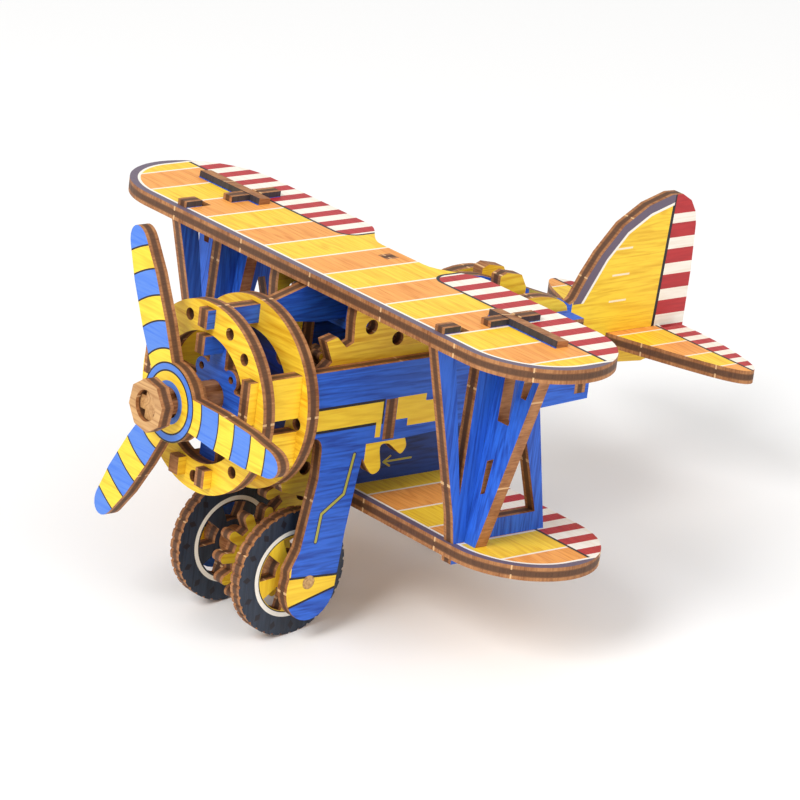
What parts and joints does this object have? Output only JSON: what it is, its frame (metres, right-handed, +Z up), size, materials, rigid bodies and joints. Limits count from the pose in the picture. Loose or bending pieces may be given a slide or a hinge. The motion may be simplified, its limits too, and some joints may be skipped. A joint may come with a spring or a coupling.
{
  "type": "biplane scale model",
  "caption": "Slot-together printed plywood biplane standing nose-up on two wheels and a tail skid; rolling the wheels turns a gear train that spins the propeller.",
  "frame": {"origin": "on the floor, under the middle of the model's bounding box, with the model standing on its wheels and tail skid", "axes": "+X to the model's port side across the span, +Y aft towards the rudder, +Z up; the nose points along -Y and is raised by 8.6 degrees"},
  "size_m": [0.143, 0.1495, 0.0873],
  "materials": {
    "print_wing": "yellow and orange printed plywood, matte",
    "print_tail": "yellow fin with red and white rudder bars printed on plywood, matte",
    "print_blue": "blue printed plywood, matte",
    "print_side": "blue printed plywood with yellow and navy bands, matte",
    "print_yellow": "yellow printed plywood, matte",
    "print_navy": "dark blue printed plywood, matte",
    "print_wheel": "tyre and hub printed on plywood, matte",
    "print_propeller": "blue and yellow bars printed on plywood, matte",
    "bare_ply": "bare laser-cut plywood, browned edges",
    "rod_wood": "smooth round beech rod"
  },
  "bodies": {
    "airframe": {"upper_wing": "print_wing", "lower_wing": "print_wing", "strut_port": "print_blue", "strut_starboard": "print_blue", "brace_port": "print_blue", "brace_starboard": "print_blue", "side_port": "print_side", "side_starboard": "print_side", "cabane_port": "print_yellow", "cabane_starboard": "print_yellow", "top_keel": "print_blue", "front_ring": "print_yellow", "rear_ring": "print_yellow", "arm_top": "print_blue", "star_key": "print_blue", "front_bearing": "print_blue", "rear_bearing": "print_navy", "belly_port": "print_navy", "belly_starboard": "print_navy", "spacers_port": "print_yellow", "spacers_starboard": "print_yellow", "mid_post_port": "print_blue", "mid_post_starboard": "print_blue", "mid_bridge": "print_blue", "aft_frame": "print_blue", "tail_frame": "print_blue", "deck": "bare_ply", "cockpit_side_port": "bare_ply", "cockpit_side_starboard": "bare_ply", "headrest": "print_yellow", "windscreen": "bare_ply", "tail_plate": "print_tail", "stabiliser": "print_wing", "skid": "bare_ply", "brackets": "print_yellow"},
    "wheelset": {"axle_rod": "rod_wood", "axle_gear": "print_yellow", "wheel_port": "print_wheel", "wheel_starboard": "print_wheel", "wheel_hubs": "bare_ply", "axle_sleeves": "bare_ply"},
    "idler": {"idler_rod": "rod_wood", "idler_gear": "print_yellow"},
    "layshaft": {"lay_rod": "rod_wood", "lay_gear_small": "print_yellow", "lay_gear_cross": "print_yellow"},
    "propeller_unit": {"prop_gear": "print_yellow", "prop_shaft": "bare_ply", "prop_collar": "bare_ply", "propeller": "print_propeller", "spinner_nut": "bare_ply"}
  },
  "joints": [
    {"name": "wheel_roll", "type": "hinge", "parent": "airframe", "child": "wheelset", "pos_m": [0, -0.04616, 0.0138], "axis": [1, 0, 0], "continuous": true},
    {"name": "idler_spin", "type": "hinge", "parent": "airframe", "child": "idler", "pos_m": [0, -0.03111, 0.03007], "axis": [1, 0, 0], "continuous": true},
    {"name": "lay_spin", "type": "hinge", "parent": "airframe", "child": "layshaft", "pos_m": [0, -0.03051, 0.04906], "axis": [1, 0, 0], "continuous": true},
    {"name": "prop_spin", "type": "hinge", "parent": "airframe", "child": "propeller_unit", "pos_m": [0, -0.06443, 0.05419], "axis": [0, 0.9888, -0.1495], "continuous": true}
  ],
  "couplings": [
    {"joint": "idler_spin", "follows": "wheel_roll", "ratio": -0.75},
    {"joint": "lay_spin", "follows": "wheel_roll", "ratio": 1.5},
    {"joint": "prop_spin", "follows": "wheel_roll", "ratio": 2.1667}
  ]
}
